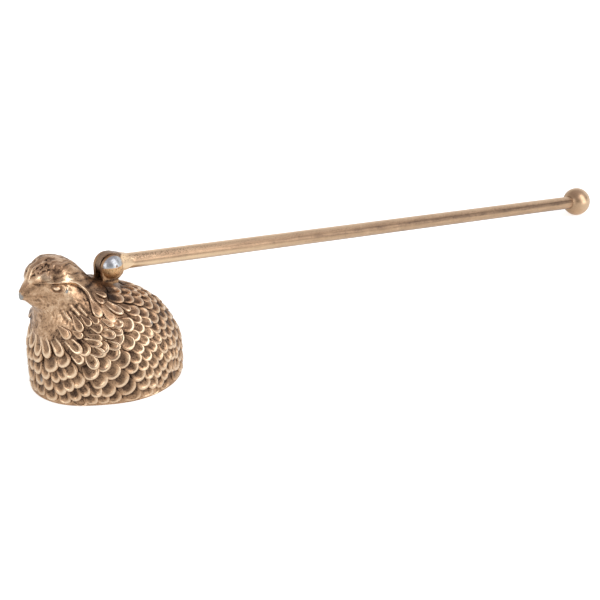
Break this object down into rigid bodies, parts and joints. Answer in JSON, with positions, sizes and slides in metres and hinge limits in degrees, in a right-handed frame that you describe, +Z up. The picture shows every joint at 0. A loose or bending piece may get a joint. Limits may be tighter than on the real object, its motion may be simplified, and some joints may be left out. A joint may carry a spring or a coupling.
{
  "type": "candle snuffer",
  "caption": "Candle snuffer: a hollow cast quail is the bell that goes over the flame, hinged at its back to a long straight rod that ends in a ball.",
  "frame": {"origin": "centre of the bell's mouth, on the surface that it stands on", "axes": "+Z up out of the bird's back, +X from the bird towards the ball at the handle's end, so the bird looks along -X"},
  "size_m": [0.2667, 0.0464, 0.0459],
  "materials": {
    "cast_brass": "antiqued cast brass, dark in the hollows and rubbed bright on the high edges",
    "bracket_brass": "darkened brass",
    "rivet_steel": "polished steel",
    "rod_brass": "brass, finely brushed along its length",
    "ball_brass": "polished brass"
  },
  "bodies": {
    "bell": {"quail_bell": "cast_brass", "hinge_bracket": "bracket_brass", "hinge_rivet": "rivet_steel"},
    "handle": {"handle_rod": "rod_brass", "ball_knob": "ball_brass"}
  },
  "joints": [
    {"name": "handle_hinge", "type": "hinge", "parent": "bell", "child": "handle", "pos_m": [0.00285, 0, 0.0375], "axis": [0, -1, 0], "range_deg": [-25, 153]}
  ]
}
